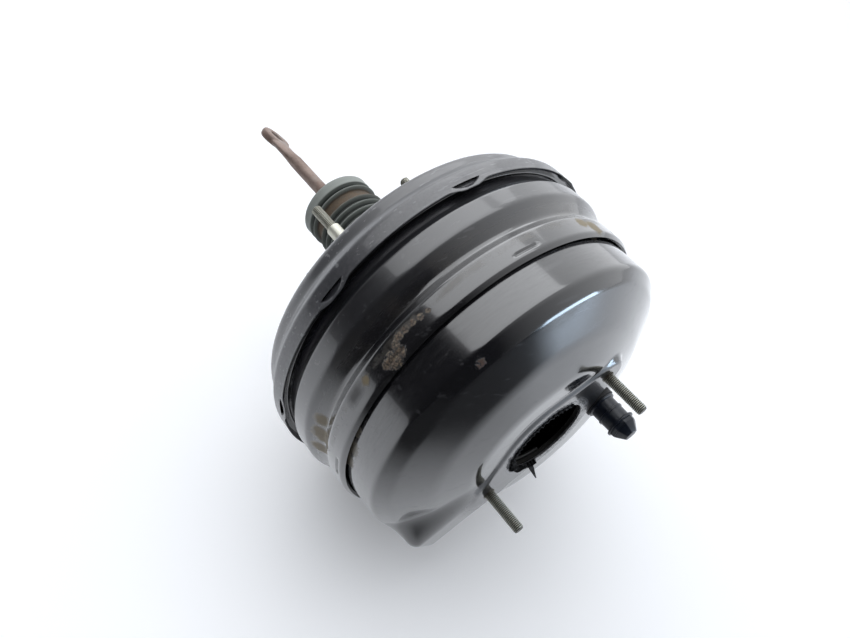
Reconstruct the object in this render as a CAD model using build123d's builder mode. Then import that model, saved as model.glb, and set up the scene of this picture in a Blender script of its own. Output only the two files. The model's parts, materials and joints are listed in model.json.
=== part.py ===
from build123d import *

import os
from math import atan2, cos, degrees, radians, sin

# Tandem vacuum brake booster, in millimetres.
# The origin is the centre of the rear mounting face, on the booster's axis. +X runs forward to the master
# cylinder, +Z is up, and the four rear studs stand as an upright rectangle.

# Sheet, clearances and travel
sheet = 2.0
plate_sheet = 1.5
rubber_sheet = 1.6
running_gap = 0.05
loose_gap = 0.3
plunger_travel = 2.5
valve_lift = 1.5

# Crimps that hold the shells together
crimp_count = 8
crimp_phase = 96.5
crimp_length = 19.0
tab_reach = 3.4
tab_strip = 2.2
slit_width = 1.8

# Rear shell: neck, hub face, dish and skirt
neck_radius = 25.0
neck_length = 30.0
hub_radius = 66.0
dish_step_x = 9.0
dish_step_radius = 77.0
shoulder_x = 43.5
shoulder_radius = 129.4
skirt_step_x = 54.0
skirt_step_radius = 131.6
skirt_x = 62.0
skirt_radius = 137.8
skirt_lip_x = 74.0

# Middle shell: rear flange, recess, body, neck groove and front skirt
flange_front_x = 70.4
recess_radius = 131.2
recess_front_x = 79.0
body_rear_x = 84.0
body_radius = 134.6
body_front_x = 98.0
groove_x = 110.5
groove_radius = 126.6
ring_x = 118.0
ring_radius = 130.2
ring_front_x = 132.6
front_lip_x = 135.3
front_lip_radius = 127.9

# Front shell: rim, wall, dome, plateau, pad and pressed arm
rim_x = 126.0
rim_radius = 127.9
wall_radius = 125.3
crease_x = 161.0
dome_outer_x = 168.6
dome_outer_radius = 117.0
dome_inner_x = 181.0
dome_inner_radius = 91.0
plateau_radius = 64.0
plateau_x = 188.9
pad_height = 2.0
pad_half_width = 40.0
pad_end_radius = 12.5
bore_radius = 30.3
arm_reach = 119.0
arm_half_width = 10.0
arm_drop = 6.0
arm_flank = 35.0
arm_depth = 26.0

# Studs
thread_radius = 4.0
front_stud_circle = 115.0
front_stud_angle = 45.0
front_stud_out = 32.2
knurl_radius = 4.6
knurl_out = 0.5
rear_stud_y = 42.0
rear_stud_z = 35.0
rear_stud_out = 43.0
collar_radius = 5.4
collar_length = 19.0
stud_head_radius = 7.4
stud_head_height = 3.0
thread_chamfer = 0.8

# Power piston and what it carries
piston_radius = 20.5
piston_rear_x = -62.0
piston_front_x = 112.0
piston_flange_radius = 34.0
piston_flange_x = 18.0
piston_flange_width = 4.0
rear_bore_radius = 17.0
rear_bore_depth = 40.0
sleeve_radius = 24.0
front_plate_x = 100.0
front_plate_radius = 100.0
rear_plate_radius = 107.0
plunger_radius = 7.0
plunger_tip_radius = 5.0
plunger_rear_x = -30.0
plunger_head_radius = 8.6
valve_seat_lip = 7.5
plunger_step_x = 32.0
reaction_pocket_radius = 15.0
reaction_disc_thickness = 6.7
output_rod_radius = 6.0
output_rod_end_x = 176.0
key_x = 10.0
key_thickness = 2.5
key_half_length = 26.0
key_half_width = 6.0

# Centre wall between the two chambers
divider_x = 96.0
divider_collar_x = 84.0
divider_hole_radius = 28.0

# Pushrod
rod_radius = 5.8
ball_radius = 5.6
ball_x = -12.0
eye_x = -173.5
eye_radius = 14.0
eye_thickness = 7.5
eye_hole_radius = 6.6
eye_turn = 50.0
eye_neck = 10.0
eye_edge = 1.2
rod_neck_radius = 4.0

# Boot
boot_rear_x = -74.0
boot_collar_length = 12.0
boot_radius = 31.0
boot_valley_radius = 26.8
boot_folds = 5
boot_lip_x = -3.0

# Springs
return_wire = 1.7
return_rear_radius = 46.0
return_front_radius = 34.5
return_turns = 4.5
small_wire = 0.6

# Vacuum check valve
valve_circle_radius = 54.4
valve_angle = 0.0
valve_radius = 9.6
valve_wall = 1.8
grommet_radius = 12.0
grommet_lip = 2.4
valve_boss_radius = 14.5
valve_body_length = 19.0
valve_cap_length = 12.0
valve_cap_radius = 10.6
valve_nose_radius = 6.2

# Places that follow from the sizes above
pad_x = plateau_x + pad_height
shell_inner_x = plateau_x - sheet
pad_inner_x = pad_x - sheet
stud_plate_thickness = 3.0
stud_plate_front_x = pad_inner_x
stud_plate_rear_x = stud_plate_front_x - stud_plate_thickness
flange_radius = skirt_radius - sheet - loose_gap
front_stud_radius = front_stud_circle / 2
sleeve_rear_x = piston_flange_x + piston_flange_width + plate_sheet
valve_y = valve_circle_radius * cos(radians(valve_angle))
valve_z = valve_circle_radius * sin(radians(valve_angle))
crimp_angles = [crimp_phase + 360 * i / crimp_count for i in range(crimp_count)]


def lathe(*corners, centre=(0, 0), mode=Mode.ADD):
    """Adds a solid turned about a line along X through a centre, from its corners as (x, radius)."""
    origin = (0, *centre)
    with BuildSketch(Plane(origin=origin, x_dir=(1, 0, 0), z_dir=(0, 0, 1))) as profile:
        with BuildLine():
            Polyline(*corners, close=True)
        make_face()
    revolve(profile.sketch, axis=Axis(origin, (1, 0, 0)), mode=mode)


def tube(start, end, inner, outer, centre=(0, 0)):
    """Adds a plain ring between two places on the axis."""
    lathe((start, inner), (end, inner), (end, outer), (start, outer), centre=centre)


def coil(start, end, start_radius, end_radius, turns, wire, centre=(0, 0)):
    """Adds a wire spring wound about a line along X, straight or conical."""
    length = end - start
    slant = degrees(atan2(end_radius - start_radius, length))
    with BuildLine() as path:
        Helix(length / turns, length, start_radius, (start, *centre), (1, 0, 0), cone_angle=slant)
    with BuildSketch(Plane(origin=path.line @ 0, z_dir=path.line % 0)) as section:
        Circle(wire)
    sweep(section.sketch, path.line)


def pressing(corners, radii, thickness):
    """Adds a sheet turned about the axis, whose outer side follows the corners and whose wall lies inside."""
    with BuildSketch(Plane.XY) as profile:
        with BuildLine():
            FilletPolyline(*corners, radius=radii)
            offset(amount=thickness, side=Side.RIGHT, kind=Kind.INTERSECTION)
        make_face()
    revolve(profile.sketch, axis=Axis.X)


def filled(corners, radii, skin):
    """Adds the solid under a turned outline, set in by a skin, that ends on the axis."""
    with BuildSketch(Plane.XY) as profile:
        with BuildLine():
            edge = FilletPolyline(*corners, radius=radii)
            if skin:
                edge = offset(edge, amount=skin, side=Side.RIGHT, kind=Kind.INTERSECTION, closed=False)
            start = edge @ 0
            Polyline(edge @ 1, (start.X, 0), start)
        make_face()
    revolve(profile.sketch, axis=Axis.X)


def across(x, angle=0.0):
    """A plane that faces forward at x, with its own x axis turned to an angle about the axis."""
    turn = radians(angle)
    return Plane(origin=(x, 0, 0), x_dir=(0, cos(turn), sin(turn)), z_dir=(1, 0, 0))


def outside(x, radius, angle):
    """A plane that faces the axis from outside, with its own y axis along the booster."""
    turn = radians(angle)
    origin = (x, radius * cos(turn), radius * sin(turn))
    return Plane(origin=origin, x_dir=(0, sin(turn), -cos(turn)), z_dir=(0, -cos(turn), -sin(turn)))


# Rear shell: a dished pressing with a neck for the power piston and a skirt over the middle shell.
# Eight tabs are sheared in the skirt behind the middle shell's flange and pushed in, which bulges its lip.
rear_corners = [
    (-neck_length, neck_radius),
    (0, neck_radius),
    (0, hub_radius),
    (dish_step_x, dish_step_radius),
    (shoulder_x, shoulder_radius),
    (skirt_step_x, skirt_step_radius),
    (skirt_x, skirt_radius),
    (skirt_lip_x, skirt_radius),
]
rear_bends = [3, 4, 10, 8, 8, 5]
tab_rear_x = flange_front_x + running_gap
tab_front_x = skirt_lip_x + tab_reach
with BuildPart() as rear_shell:
    pressing(rear_corners, rear_bends, sheet)
    for angle in crimp_angles:
        with BuildSketch(outside(tab_rear_x, skirt_radius, angle)):
            with Locations((0, (tab_front_x - tab_rear_x) / 2)):
                RectangleRounded(crimp_length + 2 * tab_strip, tab_front_x - tab_rear_x, tab_strip)
        extrude(amount=sheet + 1.0)
        with BuildSketch(outside(tab_rear_x, skirt_radius, angle)):
            window = tab_front_x - tab_rear_x - tab_strip
            with Locations((0, window / 2)):
                RectangleRounded(crimp_length, window, window / 2 - 0.4)
        extrude(amount=3 * sheet, both=True, mode=Mode.SUBTRACT)
    with BuildSketch(Plane.YZ):
        with GridLocations(2 * rear_stud_y, 2 * rear_stud_z, 2, 2):
            Circle(collar_radius + running_gap)
    extrude(amount=2 * sheet, both=True, mode=Mode.SUBTRACT)
rear_shell.part.label = "rear_shell"

# Middle shell: its rear flange locks in the rear skirt, its groove seats the centre wall and its front skirt
# is slit and crimped over the front shell's rim.
mid_corners = [
    (flange_front_x, flange_radius),
    (flange_front_x, recess_radius),
    (recess_front_x, recess_radius),
    (body_rear_x, body_radius),
    (body_front_x, body_radius),
    (groove_x, groove_radius),
    (ring_x, ring_radius),
    (ring_front_x, ring_radius),
    (front_lip_x, front_lip_radius),
]
mid_bends = [1.0, 3, 3, 5, 4, 4, 3]
with BuildPart() as mid_shell:
    pressing(mid_corners, mid_bends, sheet)
    for angle in crimp_angles:
        with BuildSketch(outside(rim_x + sheet + slit_width, ring_radius, angle)):
            SlotOverall(crimp_length, slit_width)
        extrude(amount=2 * sheet, both=True, mode=Mode.SUBTRACT)
mid_shell.part.label = "mid_shell"

# Front shell: a deep domed pressing. A flat pad carries the studs round the bore, and an arm pressed out in
# line with the pad runs past the lower stud to the edge of the dome.
front_corners = [
    (rim_x, wall_radius),
    (crease_x, wall_radius),
    (dome_outer_x, dome_outer_radius),
    (dome_inner_x, dome_inner_radius),
    (plateau_x, plateau_radius),
    (plateau_x, 0),
]
front_bends = [5, 14, 60, 30]


def pad_outline(skin):
    """The oval pad round the bore and both studs, on a plane whose x axis is the stud line."""
    Circle(pad_half_width - skin)
    with Locations((-front_stud_radius, 0), (front_stud_radius, 0)):
        Circle(pad_end_radius - skin)
    make_hull()


def front_form(skin):
    """Adds the front shell's whole form, or with a skin the hollow inside it."""
    filled(front_corners, front_bends, skin)
    with BuildSketch(across(shell_inner_x - 6, front_stud_angle)) as pad:
        pad_outline(skin)
    extrude(pad.sketch, amount=pad_x - skin - shell_inner_x + 6)
    with BuildSketch(across(shell_inner_x - 12)) as valve_boss:
        with Locations((valve_y, valve_z)):
            Circle(valve_boss_radius - skin)
    extrude(valve_boss.sketch, amount=12 + sheet - skin)


def arm_form(skin):
    """Makes the pressed arm, which slopes from the pad to the edge, with flanks that widen downwards."""
    turn = radians(front_stud_angle + 180)
    out = Vector(0, cos(turn), sin(turn))
    fall = Vector(1, 0, 0) * -arm_drop + out * (arm_reach - front_stud_radius)
    side = Vector(1, 0, 0).cross(out)
    down = fall.cross(side).normalized()
    if down.X > 0:
        down = down * -1
    start = out * front_stud_radius + Vector(pad_x - skin, 0, 0)
    length = arm_reach - front_stud_radius
    with BuildPart() as arm:
        with BuildSketch(Plane(origin=start, x_dir=fall, z_dir=down)):
            with Locations((length / 2 - arm_half_width / 2, 0)):
                RectangleRounded(length + arm_half_width - skin, 2 * (arm_half_width - skin / 2), arm_half_width - skin / 2 - 0.1)
        extrude(amount=arm_depth, taper=-arm_flank)
        fillet(arm.faces().sort_by(Axis.X)[-1].edges(), 4.0 - skin)
        with BuildSketch(across(0)):
            Circle(wall_radius - skin)
        extrude(amount=pad_x - skin, mode=Mode.INTERSECT)
    return arm.part


with BuildPart() as front_hollow:
    front_form(sheet)
    add(arm_form(sheet))

with BuildPart() as front_shell:
    front_form(0)
    add(arm_form(0))
    tube(rim_x, rim_x + sheet, wall_radius - sheet, rim_radius)
    add(front_hollow.part, mode=Mode.SUBTRACT)
    with BuildSketch(across(shell_inner_x)):
        Circle(bore_radius)
        with PolarLocations(front_stud_radius, 2, front_stud_angle):
            Circle(knurl_radius + loose_gap)
        with Locations((valve_y, valve_z)):
            Circle(valve_radius)
    extrude(amount=4 * sheet, both=True, mode=Mode.SUBTRACT)
front_shell.part.label = "front_shell"

# Rear studs with their collars, and the plate inside the hub face that backs their heads.
hub_inner_x = sheet + stud_plate_thickness
with BuildPart() as rear_studs:
    with BuildSketch(across(hub_inner_x)):
        with GridLocations(2 * rear_stud_y, 2 * rear_stud_z, 2, 2):
            Circle(stud_head_radius)
    extrude(amount=stud_head_height)
    with BuildSketch(across(hub_inner_x)):
        with GridLocations(2 * rear_stud_y, 2 * rear_stud_z, 2, 2):
            Circle(collar_radius)
    extrude(amount=-hub_inner_x - collar_length)
    with BuildSketch(across(-collar_length)):
        with GridLocations(2 * rear_stud_y, 2 * rear_stud_z, 2, 2):
            Circle(thread_radius)
    extrude(amount=collar_length - rear_stud_out)
    chamfer(rear_studs.faces().group_by(Axis.X)[0].edges(), thread_chamfer)
rear_studs.part.label = "rear_studs"

with BuildPart() as rear_stud_plate:
    tube(sheet, hub_inner_x, neck_radius + 4, hub_radius - 4.5)
    with BuildSketch(across(sheet)):
        with GridLocations(2 * rear_stud_y, 2 * rear_stud_z, 2, 2):
            Circle(collar_radius + running_gap)
    extrude(amount=stud_plate_thickness, mode=Mode.SUBTRACT)
rear_stud_plate.part.label = "rear_stud_plate"

# Front studs and the oval plate under the pad that backs them and seats the return spring.
front_plate_skin = sheet + loose_gap
with BuildPart() as front_stud_plate:
    with BuildSketch(across(stud_plate_rear_x, front_stud_angle)):
        pad_outline(front_plate_skin)
    extrude(amount=stud_plate_thickness)
    with BuildSketch(across(stud_plate_rear_x)):
        Circle(bore_radius + 1.0)
        with PolarLocations(front_stud_radius, 2, front_stud_angle):
            Circle(knurl_radius + running_gap)
    extrude(amount=stud_plate_thickness, mode=Mode.SUBTRACT)
front_stud_plate.part.label = "front_stud_plate"

with BuildPart() as front_studs:
    with BuildSketch(across(stud_plate_rear_x)):
        with PolarLocations(front_stud_radius, 2, front_stud_angle):
            Circle(stud_head_radius)
    extrude(amount=-stud_head_height)
    with BuildSketch(across(stud_plate_rear_x)):
        with PolarLocations(front_stud_radius, 2, front_stud_angle):
            Circle(knurl_radius)
    extrude(amount=pad_x + knurl_out - stud_plate_rear_x)
    with BuildSketch(across(pad_x + knurl_out)):
        with PolarLocations(front_stud_radius, 2, front_stud_angle):
            Circle(thread_radius)
    extrude(amount=front_stud_out - knurl_out)
    chamfer(front_studs.faces().group_by(Axis.X)[-1].edges(), thread_chamfer)
front_studs.part.label = "front_studs"

# Centre wall between the chambers, seated in the middle shell's groove, with its lip seal on the piston.
divider_radius = groove_radius - sheet - loose_gap
divider_corners = [
    (divider_collar_x, divider_hole_radius + plate_sheet),
    (divider_x, divider_hole_radius + plate_sheet),
    (divider_x, 100),
    (groove_x - 1.5, 118),
    (groove_x - 1.5, divider_radius),
]
with BuildPart() as divider_wall:
    with BuildSketch(Plane.XY):
        with BuildLine():
            FilletPolyline(*divider_corners, radius=[2, 4, 3])
            offset(amount=plate_sheet, side=Side.RIGHT, kind=Kind.INTERSECTION)
        make_face()
    revolve(axis=Axis.X)
divider_wall.part.label = "divider_wall"

with BuildPart() as divider_seal:
    seal_rear = divider_collar_x + 1
    seal_front = divider_x - 1
    lathe(
        (seal_rear, sleeve_radius + 1.4),
        (seal_rear + 2, sleeve_radius + loose_gap),
        (seal_rear + 3, sleeve_radius + loose_gap),
        (seal_rear + 5, sleeve_radius + 1.4),
        (seal_front, sleeve_radius + 1.4),
        (seal_front, divider_hole_radius - running_gap),
        (seal_rear, divider_hole_radius - running_gap),
    )
divider_seal.part.label = "divider_seal"

# Guide ring, lip seal and retainer in the rear shell's neck, where the power piston slides.
neck_bore = neck_radius - sheet - running_gap
guide_rear = -neck_length + 3
guide_front = guide_rear + 9
seal_end = guide_front + 11
with BuildPart() as guide_ring:
    tube(guide_rear, guide_front, piston_radius + running_gap, neck_bore)
guide_ring.part.label = "guide_ring"

with BuildPart() as neck_seal:
    lathe(
        (guide_front, piston_radius + 0.9),
        (guide_front + 3, piston_radius + 0.9),
        (guide_front + 4.5, piston_radius + loose_gap),
        (guide_front + 5.5, piston_radius + loose_gap),
        (guide_front + 7, piston_radius + 0.9),
        (seal_end, piston_radius + 0.9),
        (seal_end, neck_bore),
        (guide_front, neck_bore),
    )
neck_seal.part.label = "neck_seal"

with BuildPart() as seal_retainer:
    tube(seal_end, seal_end + 1.5, piston_radius + 0.6, neck_bore)
seal_retainer.part.label = "seal_retainer"

# Power piston: a moulded body with the air valve behind, the plunger bore and the reaction pocket in front.
flange_end_x = piston_flange_x + piston_flange_width
pocket_x = piston_front_x - 14.0
valve_floor_x = piston_rear_x + rear_bore_depth
seat_ring_radius = plunger_head_radius + 2.4
with BuildPart() as power_piston:
    lathe(
        (piston_rear_x, rear_bore_radius),
        (valve_floor_x, rear_bore_radius),
        (valve_floor_x, seat_ring_radius + 1.5),
        (valve_floor_x - valve_seat_lip, seat_ring_radius + 1.5),
        (valve_floor_x - valve_seat_lip, seat_ring_radius),
        (valve_floor_x, seat_ring_radius),
        (valve_floor_x, plunger_radius + running_gap),
        (plunger_step_x, plunger_radius + running_gap),
        (plunger_step_x, plunger_tip_radius + running_gap),
        (pocket_x, plunger_tip_radius + running_gap),
        (pocket_x, reaction_pocket_radius),
        (piston_front_x, reaction_pocket_radius),
        (piston_front_x, piston_radius),
        (flange_end_x, piston_radius),
        (flange_end_x, piston_flange_radius),
        (piston_flange_x, piston_flange_radius),
        (piston_flange_x, piston_radius),
        (piston_rear_x, piston_radius),
    )
    with BuildSketch(across(key_x - running_gap)):
        Rectangle(2 * key_half_width + 2 * loose_gap, 3 * piston_radius)
    extrude(amount=key_thickness + 2 * running_gap, mode=Mode.SUBTRACT)
    with BuildSketch(across(valve_floor_x)):
        with Locations((0, rear_bore_radius - 2), (0, 2 - rear_bore_radius)):
            Circle(1.8)
    extrude(amount=piston_flange_x - valve_floor_x - 12, mode=Mode.SUBTRACT)
power_piston.part.label = "power_piston"

# The key drops across the piston and through the plunger's groove, so it stops the plunger's travel.
groove_core = plunger_radius - 2.4
with BuildPart() as stop_key:
    with BuildSketch(across(key_x)):
        with Locations((0, (key_half_length - plunger_radius) / 2)):
            Rectangle(2 * key_half_width, key_half_length + plunger_radius)
        fork = groove_core + running_gap
        Circle(fork, mode=Mode.SUBTRACT)
        with Locations((0, -plunger_radius / 2)):
            Rectangle(2 * fork, plunger_radius, mode=Mode.SUBTRACT)
    extrude(amount=key_thickness)
stop_key.part.label = "stop_key"

# Support plates of the two diaphragms, held apart by a sleeve and clamped to the piston by a ring.
rear_plate_corners = [
    (flange_end_x, piston_radius + running_gap),
    (flange_end_x, 46),
    (flange_end_x - 6, 54),
    (flange_end_x - 6, 74),
    (flange_end_x + 19, rear_plate_radius - 3),
    (flange_end_x + 32, rear_plate_radius),
]
with BuildPart() as rear_plate:
    pressing(rear_plate_corners, [3, 3, 6, 5], plate_sheet)
rear_plate.part.label = "rear_plate"

front_plate_corners = [
    (front_plate_x, piston_radius + running_gap),
    (front_plate_x, 60),
    (front_plate_x + 4, 66),
    (front_plate_x + 4, 90),
    (front_plate_x + 8, front_plate_radius - 2),
    (front_plate_x + 19, front_plate_radius),
]
with BuildPart() as front_plate:
    pressing(front_plate_corners, [3, 3, 4, 4], plate_sheet)
front_plate.part.label = "front_plate"

with BuildPart() as piston_sleeve:
    tube(sleeve_rear_x, front_plate_x, piston_radius + running_gap, sleeve_radius)
piston_sleeve.part.label = "piston_sleeve"

clamp_x = front_plate_x + plate_sheet
with BuildPart() as plate_clamp:
    tube(clamp_x, clamp_x + 3, piston_radius + running_gap, piston_radius + 7)
plate_clamp.part.label = "plate_clamp"

# Rubber diaphragms: each covers its plate's rear side, folds at the rim and ends in a bead between two shells.
rear_bead_x = skirt_x
rear_bead_front = flange_front_x - sheet - loose_gap
with BuildPart() as rear_diaphragm:
    tube(rear_bead_x, rear_bead_front, recess_radius - 2, shoulder_radius + 3)
    with BuildSketch(Plane.XY):
        with BuildLine():
            FilletPolyline(
                (flange_end_x - 0.4, piston_flange_radius + loose_gap),
                (flange_end_x - 0.4, 45.6),
                (flange_end_x - 6.4, 53.6),
                (flange_end_x - 6.4, 74.3),
                (flange_end_x + 18.6, rear_plate_radius - 2.3),
                (flange_end_x + 34, rear_plate_radius + 2.2),
                (flange_end_x + 34, rear_plate_radius + 9),
                (rear_bead_x - 12, recess_radius - 7),
                (rear_bead_x + 1, recess_radius - 1.8),
                radius=[3, 3, 6, 5, 3, 3, 4],
            )
            offset(amount=rubber_sheet, side=Side.LEFT, kind=Kind.INTERSECTION)
        make_face()
    revolve(axis=Axis.X)
rear_diaphragm.part.label = "rear_diaphragm"

front_bead_x = ring_x + 1
with BuildPart() as front_diaphragm:
    tube(front_bead_x, rim_x - loose_gap, wall_radius - 3, wall_radius + 1)
    with BuildSketch(Plane.XY):
        with BuildLine():
            FilletPolyline(
                (front_plate_x - 0.4, sleeve_radius + loose_gap),
                (front_plate_x - 0.4, 60.2),
                (front_plate_x + 3.6, 66.2),
                (front_plate_x + 3.6, 90.2),
                (front_plate_x + 7.6, front_plate_radius - 1.6),
                (front_plate_x + 21, front_plate_radius + 2.4),
                (front_plate_x + 21, front_plate_radius + 9),
                (front_bead_x - 5, wall_radius - 9),
                (front_bead_x + 1, wall_radius - 2.8),
                radius=[3, 3, 4, 4, 3, 3, 3],
            )
            offset(amount=rubber_sheet, side=Side.LEFT, kind=Kind.INTERSECTION)
        make_face()
    revolve(axis=Axis.X)
front_diaphragm.part.label = "front_diaphragm"

# Reaction disc, output rod and its retainer in the piston's front pocket.
output_base_x = pocket_x + loose_gap + reaction_disc_thickness
output_base_end = output_base_x + 4.0
with BuildPart() as reaction_disc:
    tube(pocket_x + loose_gap, output_base_x, 0, reaction_pocket_radius - loose_gap)
reaction_disc.part.label = "reaction_disc"

with BuildPart() as output_rod:
    lathe(
        (output_base_x, 0),
        (output_base_x, reaction_pocket_radius - running_gap),
        (output_base_end, reaction_pocket_radius - running_gap),
        (output_base_end + 2, output_rod_radius),
        (output_rod_end_x - 20, output_rod_radius),
        (output_rod_end_x - 20, output_rod_radius - 1),
        (output_rod_end_x - 2, output_rod_radius - 1),
        (output_rod_end_x, output_rod_radius - 3),
        (output_rod_end_x, 0),
    )
output_rod.part.label = "output_rod"

with BuildPart() as adjuster_nut:
    with BuildSketch(across(output_rod_end_x - 19.5)):
        RegularPolygon(output_rod_radius + 1.5, 6)
        Circle(output_rod_radius - 1 + running_gap, mode=Mode.SUBTRACT)
    extrude(amount=5)
adjuster_nut.part.label = "adjuster_nut"

with BuildPart() as rod_retainer:
    tube(output_base_end + 2, piston_front_x, output_rod_radius + 1, reaction_pocket_radius - running_gap)
rod_retainer.part.label = "rod_retainer"

# Air valve: a plunger, a rubber poppet on its retainer, their springs, and the filters in the rear bore.
plunger_front_x = pocket_x - plunger_travel - running_gap
head_front_x = valve_floor_x - plunger_travel - loose_gap
plunger_shoulder_x = plunger_step_x - plunger_travel - 1
groove_rear_x = key_x - plunger_travel - loose_gap
groove_front_x = key_x + key_thickness + loose_gap
with BuildPart() as valve_plunger:
    lathe(
        (plunger_rear_x, 0),
        (plunger_rear_x, plunger_head_radius),
        (head_front_x, plunger_head_radius),
        (head_front_x, plunger_radius),
        (groove_rear_x, plunger_radius),
        (groove_rear_x, groove_core),
        (groove_front_x, groove_core),
        (groove_front_x, plunger_radius),
        (plunger_shoulder_x, plunger_radius),
        (plunger_shoulder_x, plunger_tip_radius),
        (plunger_front_x, plunger_tip_radius),
        (plunger_front_x, 0),
    )
    socket = ball_radius + running_gap
    lathe((plunger_rear_x, 0), (ball_x, 0), (ball_x, socket), (plunger_rear_x, socket), mode=Mode.SUBTRACT)
    with Locations((ball_x, 0, 0)):
        Sphere(socket, mode=Mode.SUBTRACT)
valve_plunger.part.label = "valve_plunger"

poppet_face_x = plunger_rear_x - loose_gap
poppet_rear_x = poppet_face_x - 3.0
bead_front_x = poppet_rear_x - 8.0
bead_rear_x = bead_front_x - 4.0
poppet_bore = rod_neck_radius + 2.4
with BuildPart() as poppet_valve:
    lathe(
        (poppet_face_x, poppet_bore),
        (poppet_face_x, seat_ring_radius + 2.4),
        (poppet_rear_x, seat_ring_radius + 2.4),
        (bead_front_x, rear_bore_radius - 2),
        (bead_front_x, rear_bore_radius - loose_gap),
        (bead_rear_x, rear_bore_radius - loose_gap),
        (bead_rear_x, rear_bore_radius - 3.5),
        (bead_front_x, rear_bore_radius - 3.5),
        (poppet_rear_x - 1, seat_ring_radius + 1.2),
        (poppet_rear_x, poppet_bore),
    )
poppet_valve.part.label = "poppet_valve"

retainer_rear_x = bead_rear_x - plate_sheet
with BuildPart() as poppet_retainer:
    tube(retainer_rear_x, bead_rear_x, rod_neck_radius + 3.5, rear_bore_radius - running_gap)
poppet_retainer.part.label = "poppet_retainer"

with BuildPart() as poppet_spring:
    spring_start = bead_rear_x + small_wire + running_gap
    spring_end = poppet_rear_x - 1 - small_wire - running_gap
    coil(spring_start, spring_end, seat_ring_radius - 0.8, seat_ring_radius - 0.8, 4, small_wire)
poppet_spring.part.label = "poppet_spring"

collar_front_x = retainer_rear_x - 8.0
collar_rear_x = collar_front_x - plate_sheet
with BuildPart() as spring_collar:
    tube(collar_rear_x, collar_front_x, rod_radius + running_gap, rod_radius + 4)
spring_collar.part.label = "spring_collar"

with BuildPart() as rod_spring:
    spring_start = collar_front_x + small_wire + running_gap
    spring_end = retainer_rear_x - small_wire - running_gap
    coil(spring_start, spring_end, rod_radius + 2.6, rod_radius + 2.6, 3, small_wire)
rod_spring.part.label = "rod_spring"

filter_bore = rod_radius + 3.3
silencer_front_x = collar_rear_x - 1.0
with BuildPart() as silencer:
    tube(piston_rear_x, silencer_front_x, filter_bore, rear_bore_radius - running_gap)
silencer.part.label = "silencer"

with BuildPart() as air_filter:
    tube(piston_rear_x - 5, piston_rear_x, filter_bore, piston_radius - 1)
air_filter.part.label = "air_filter"

# Pushrod: a forging with a ball in the plunger, a turned shank and a flat eye for the pedal's pin.
shank_front_x = collar_front_x + 0.5
pin_axis = Vector(0, cos(radians(eye_turn)), sin(radians(eye_turn)))
eye_plane = Plane(origin=(eye_x, 0, 0), x_dir=(1, 0, 0), z_dir=pin_axis)
with BuildPart() as input_pushrod:
    with BuildSketch(eye_plane):
        Circle(eye_radius)
        with Locations((eye_radius + eye_neck, 0)):
            Circle(rod_radius - 1)
        make_hull()
    extrude(amount=eye_thickness / 2, both=True)
    flats = input_pushrod.faces().sort_by(Axis((0, 0, 0), tuple(pin_axis)))
    chamfer(flats[0].edges() + flats[-1].edges(), eye_edge)
    with Locations((ball_x, 0, 0)):
        Sphere(ball_radius)
    lathe(
        (ball_x, 0),
        (ball_x, rod_neck_radius),
        (shank_front_x + 2, rod_neck_radius),
        (shank_front_x, rod_radius),
        (eye_x + eye_radius, rod_radius),
        (eye_x + eye_radius, 0),
    )
    with BuildSketch(eye_plane):
        Circle(eye_hole_radius)
    extrude(amount=eye_thickness, both=True, mode=Mode.SUBTRACT)
input_pushrod.part.label = "input_pushrod"

# Boot: a rubber bellows from the pushrod to the neck, with a flat rear end and a deep first fold.
fold_start_x = boot_rear_x + boot_collar_length
lip_start_x = boot_lip_x - 9.0
fold_pitch = (lip_start_x - fold_start_x) / boot_folds
boot_corners = [(boot_rear_x, rod_radius + loose_gap), (boot_rear_x, boot_radius), (fold_start_x, boot_radius)]
for fold in range(boot_folds):
    boot_corners.append((fold_start_x + (fold + 0.5) * fold_pitch, boot_valley_radius))
    boot_corners.append((fold_start_x + (fold + 1) * fold_pitch, boot_radius - 0.5))
boot_corners[-1] = (lip_start_x, neck_radius + rubber_sheet + loose_gap)
boot_corners.append((boot_lip_x, neck_radius + rubber_sheet + loose_gap))
with BuildPart() as boot:
    pressing(boot_corners, [3.0] + [1.2] * (len(boot_corners) - 3), rubber_sheet)
boot.part.label = "boot"

# Return spring between the front plate and the plate under the pad.
with BuildPart() as return_spring:
    spring_start = clamp_x + return_wire + running_gap
    spring_end = stud_plate_rear_x - return_wire - running_gap
    coil(spring_start, spring_end, return_rear_radius, return_front_radius, return_turns, return_wire)
return_spring.part.label = "return_spring"

# Vacuum check valve: a plastic body in a rubber grommet, with a sprung disc inside and a closed cap.
valve_centre = (valve_y, valve_z)
stem_radius = valve_radius - 2.6
body_rear_face = plateau_x + grommet_lip
body_front_face = body_rear_face + valve_body_length
seat_x = body_rear_face + 3.0
disc_thickness = 1.5
with BuildPart() as valve_grommet:
    lathe(
        (shell_inner_x - 4, stem_radius + running_gap),
        (body_rear_face, stem_radius + running_gap),
        (body_rear_face, grommet_radius),
        (plateau_x, grommet_radius),
        (plateau_x, valve_radius - running_gap),
        (shell_inner_x, valve_radius - running_gap),
        (shell_inner_x, valve_radius + 1.6),
        (shell_inner_x - 4, valve_radius - 0.6),
        centre=valve_centre,
    )
valve_grommet.part.label = "valve_grommet"

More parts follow.
